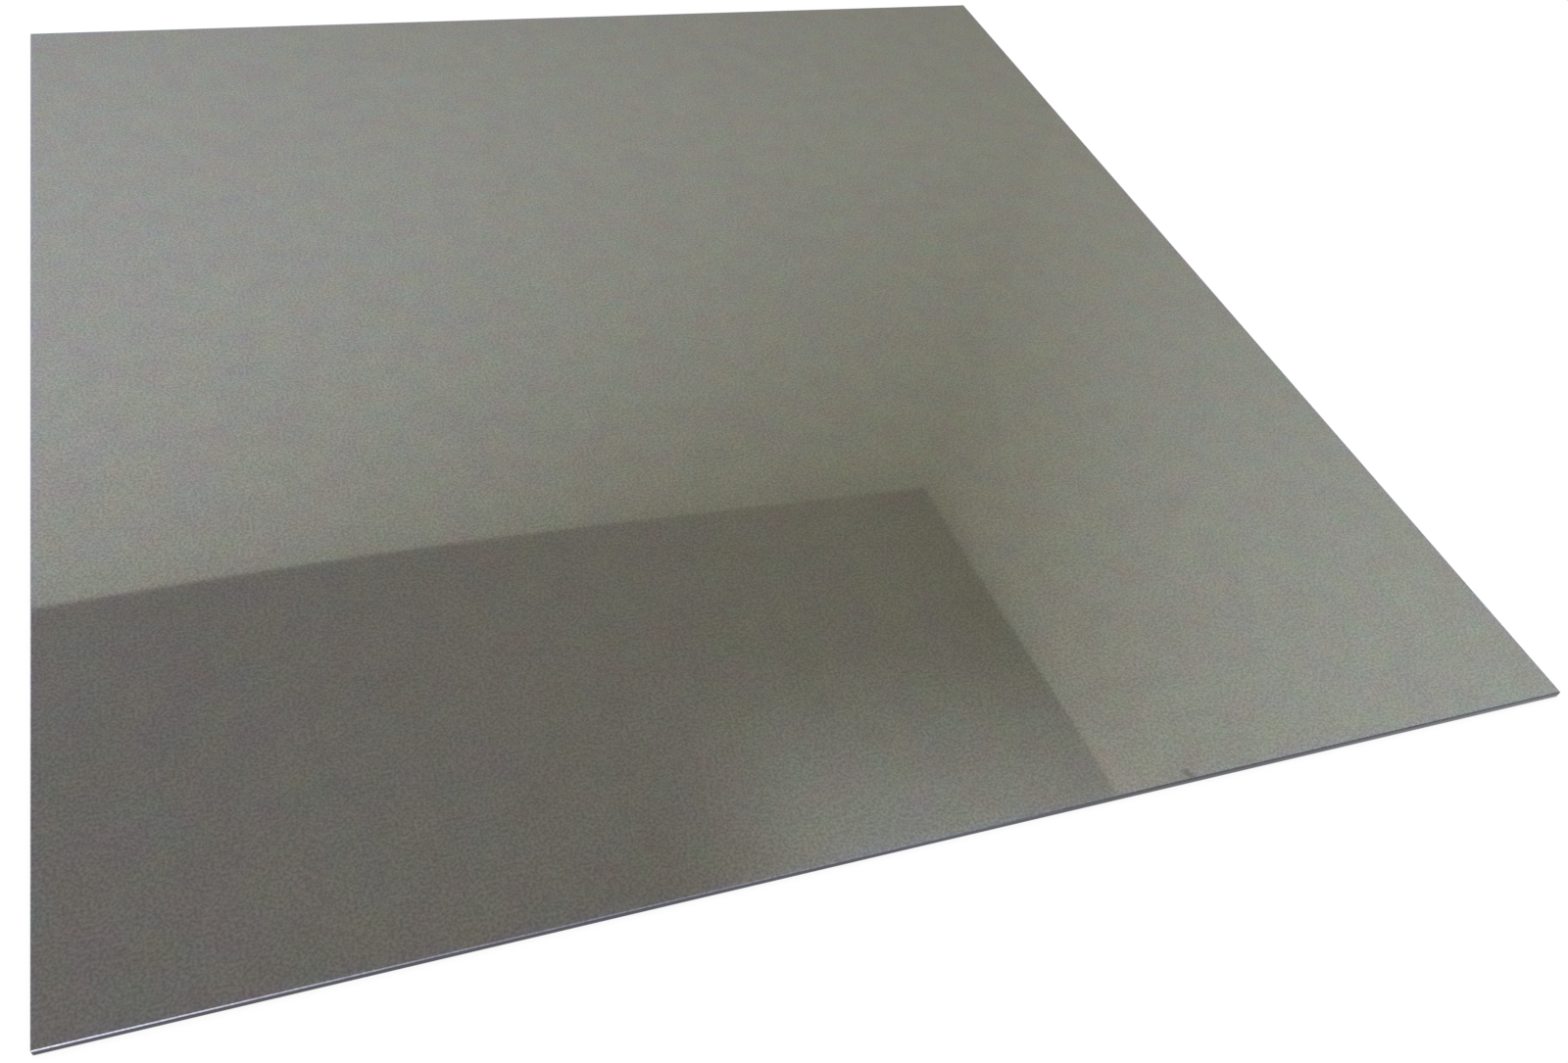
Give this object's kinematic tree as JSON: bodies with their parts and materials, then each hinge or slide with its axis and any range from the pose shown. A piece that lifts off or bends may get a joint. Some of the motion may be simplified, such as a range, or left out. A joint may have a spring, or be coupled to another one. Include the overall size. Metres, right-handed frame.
{
  "type": "acrylic two-way mirror sheet",
  "caption": "Flat square sheet of acrylic two-way mirror with a smoky mirror face, polished slightly rounded edges and nearly sharp corners.",
  "frame": {"origin": "middle of the back face, on which the sheet lies", "axes": "+Z out of the mirror face, +X along the front edge, +Y from the front edge to the back edge"},
  "size_m": [0.6096, 0.6096, 0.0032],
  "materials": {
    "two_way_mirror": "semi-reflective film on acrylic, grey with a slight green tint, edges flame polished"
  },
  "bodies": {
    "root": {"mirror_sheet": "two_way_mirror"}
  },
  "joints": []
}
